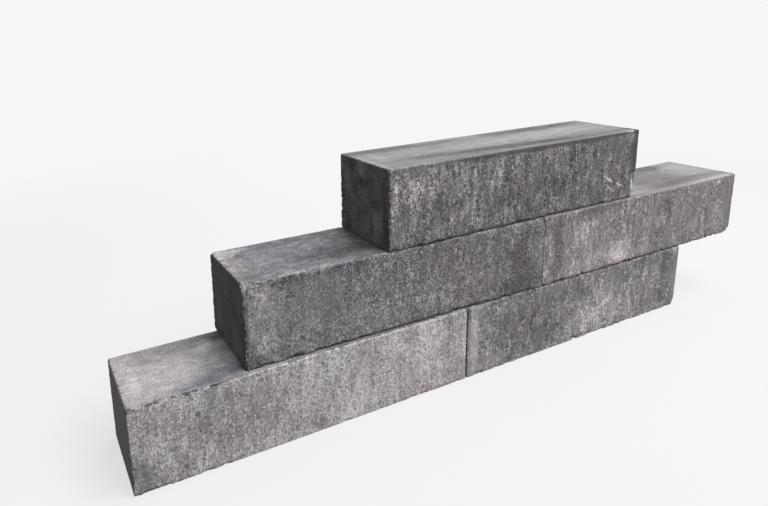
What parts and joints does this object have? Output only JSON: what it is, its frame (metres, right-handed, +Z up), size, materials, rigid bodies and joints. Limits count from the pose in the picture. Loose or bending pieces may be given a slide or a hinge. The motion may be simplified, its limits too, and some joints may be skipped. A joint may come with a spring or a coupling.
{
  "type": "stack of concrete wall blocks",
  "caption": "Dry stack of long solid concrete wall blocks, laid in stepped courses with rounded arrises, for garden walls and raised borders.",
  "frame": {"origin": "on the ground, under the middle of the stack's bounding box", "axes": "+X along the blocks, towards the end where the second course overhangs; +Y from the front face to the back; +Z up"},
  "size_m": [1.3818, 0.1576, 0.414],
  "materials": {
    "pale_concrete": "pressed concrete, pale grey, fine grained with upright streaks",
    "mid_concrete": "pressed concrete, mid grey, fine grained with upright streaks",
    "dark_concrete": "pressed concrete, dark grey, fine grained with upright streaks"
  },
  "bodies": {
    "root": {"bottom_left_block": "pale_concrete", "bottom_right_block": "mid_concrete", "second_left_block": "dark_concrete", "second_right_block": "mid_concrete", "top_block": "dark_concrete"}
  },
  "joints": []
}
